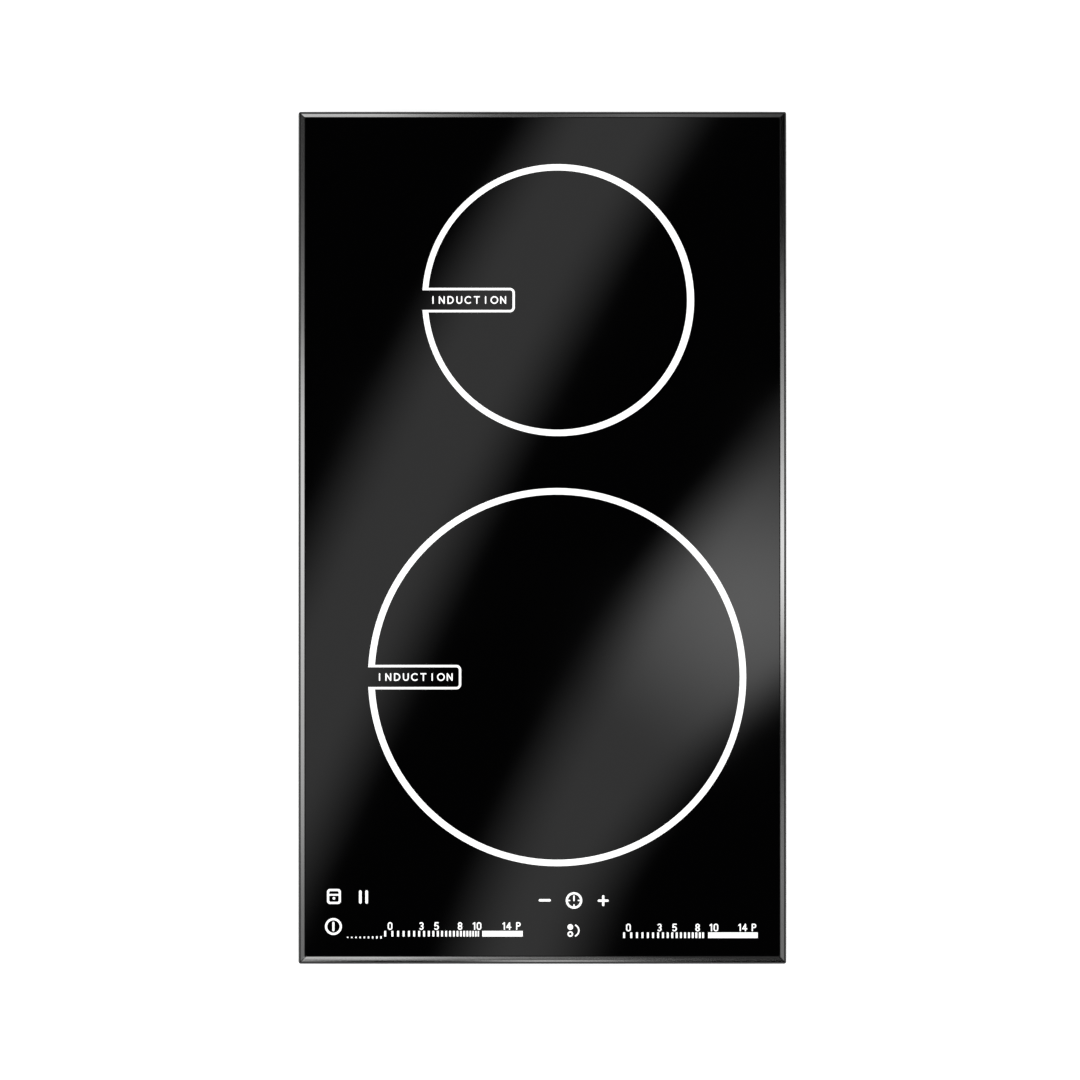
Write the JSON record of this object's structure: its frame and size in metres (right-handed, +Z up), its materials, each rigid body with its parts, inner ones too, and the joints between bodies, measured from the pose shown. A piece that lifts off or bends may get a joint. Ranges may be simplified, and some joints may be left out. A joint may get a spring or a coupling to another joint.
{
  "type": "electric induction cooktop",
  "caption": "Slim rectangular built-in induction cooktop: black glass with bevelled metal trim, two printed ring zones in line and touch controls along the front edge.",
  "frame": {"origin": "centre of the worktop cut-out in the plane of the worktop surface, on the underside of the gasket", "axes": "+X right, +Y to the rear of the worktop, +Z up out of the glass; the controls are at -Y"},
  "size_m": [0.292, 0.51, 0.0542],
  "materials": {
    "grey_plastic": "glass-filled moulding",
    "screw_steel": "zinc plated",
    "black_rubber": "matt rubber",
    "zinc_steel": "galvanised sheet",
    "aluminium_sheet": "mill finish",
    "ferrite": "sintered",
    "lead_sleeve": "braided glass sleeve",
    "mica": "pressed flakes",
    "white_plastic": "satin moulding",
    "copper_wire": "enamelled copper",
    "white_enamel": "fired screen-printed enamel",
    "black_plastic": "fine moulded texture",
    "dark_metal": "satin",
    "capacitor_case": "satin potting case",
    "dark_sealant": "satin silicone",
    "black_glass": "polished black glass-ceramic",
    "aluminium_extrusion": "extruded",
    "circuit_board": "solder-masked board",
    "ribbon_plastic": "flat ribbon",
    "gasket_foam": "closed-cell foam",
    "trim_steel": "polished stainless steel"
  },
  "bodies": {
    "housing": {"board_carrier": "grey_plastic", "board_screws": "screw_steel", "cable_grommet": "black_rubber", "clamp_screws": "screw_steel", "coil_deck": "aluminium_sheet", "control_icon_marks": "white_enamel", "deck_posts": "zinc_steel", "earth_screw": "screw_steel", "exhaust_grille": "black_plastic", "fan_housing": "black_plastic", "fan_intake_grille": "black_plastic", "fan_motor": "dark_metal", "film_capacitors": "capacitor_case", "filter_choke": "copper_wire", "glass_adhesive": "dark_sealant", "glass_edge_seal": "dark_sealant", "glass_plate": "black_glass", "heat_sink": "aluminium_extrusion", "lid_hinge_pin": "screw_steel", "power_board": "circuit_board", "power_transistors": "black_plastic", "ribbon_cable": "ribbon_plastic", "slider_marks": "white_enamel", "terminal_block": "white_plastic", "terminal_box": "black_plastic", "terminal_screws": "screw_steel", "touch_board": "circuit_board", "touch_board_carrier": "grey_plastic", "touch_sensor_pads": "gasket_foam", "tray_floor": "zinc_steel", "tray_walls": "zinc_steel", "trim_front": "trim_steel", "trim_left": "trim_steel", "trim_rear": "trim_steel", "trim_right": "trim_steel", "worktop_gasket": "gasket_foam", "zone_mark_front": "white_enamel", "zone_mark_rear": "white_enamel"},
    "fan_rotor": {"fan_impeller": "black_plastic"},
    "front_coil": {"coil_carrier_front": "grey_plastic", "coil_ferrites_front": "ferrite", "coil_leads_front": "lead_sleeve", "coil_mica_front": "mica", "coil_sensor_front": "white_plastic", "coil_shield_front": "aluminium_sheet", "coil_springs_front": "screw_steel", "coil_winding_front": "copper_wire"},
    "rear_coil": {"coil_carrier_rear": "grey_plastic", "coil_ferrites_rear": "ferrite", "coil_leads_rear": "lead_sleeve", "coil_mica_rear": "mica", "coil_sensor_rear": "white_plastic", "coil_shield_rear": "aluminium_sheet", "coil_springs_rear": "screw_steel", "coil_winding_rear": "copper_wire"},
    "terminal_lid": {"terminal_lid": "black_plastic"},
    "clamp_arm_front_left": {"clamp_arm_front_left": "zinc_steel"},
    "clamp_arm_front_right": {"clamp_arm_front_right": "zinc_steel"},
    "clamp_arm_rear_left": {"clamp_arm_rear_left": "zinc_steel"},
    "clamp_arm_rear_right": {"clamp_arm_rear_right": "zinc_steel"}
  },
  "joints": [
    {"name": "fan_spin", "type": "hinge", "parent": "housing", "child": "fan_rotor", "pos_m": [0.055, 0.165, -0.04], "axis": [0, 0, 1], "continuous": true},
    {"name": "front_coil_float", "type": "slide", "parent": "housing", "child": "front_coil", "axis": [0, 0, 1], "range_m": [-0.003, 0], "stiffness_N_per_m": 6000, "springref_m": 0.002, "deforming": ["coil_springs_front", "coil_leads_front"]},
    {"name": "rear_coil_float", "type": "slide", "parent": "housing", "child": "rear_coil", "axis": [0, 0, 1], "range_m": [-0.003, 0], "stiffness_N_per_m": 4000, "springref_m": 0.002, "deforming": ["coil_springs_rear", "coil_leads_rear"]},
    {"name": "terminal_lid_hinge", "type": "hinge", "parent": "housing", "child": "terminal_lid", "pos_m": [-0.1166, 0.2431, -0.032], "axis": [0, 0, 1], "range_deg": [0, 110]},
    {"name": "clamp_arm_front_left_swivel", "type": "hinge", "parent": "housing", "child": "clamp_arm_front_left", "pos_m": [-0.1306, -0.15, -0.043], "axis": [0, 0, 1], "range_deg": [0, 90]},
    {"name": "clamp_arm_front_right_swivel", "type": "hinge", "parent": "housing", "child": "clamp_arm_front_right", "pos_m": [0.1306, -0.15, -0.043], "axis": [0, 0, -1], "range_deg": [0, 90]},
    {"name": "clamp_arm_rear_left_swivel", "type": "hinge", "parent": "housing", "child": "clamp_arm_rear_left", "pos_m": [-0.1306, 0.15, -0.043], "axis": [0, 0, -1], "range_deg": [0, 90]},
    {"name": "clamp_arm_rear_right_swivel", "type": "hinge", "parent": "housing", "child": "clamp_arm_rear_right", "pos_m": [0.1306, 0.15, -0.043], "axis": [0, 0, 1], "range_deg": [0, 90]}
  ]
}
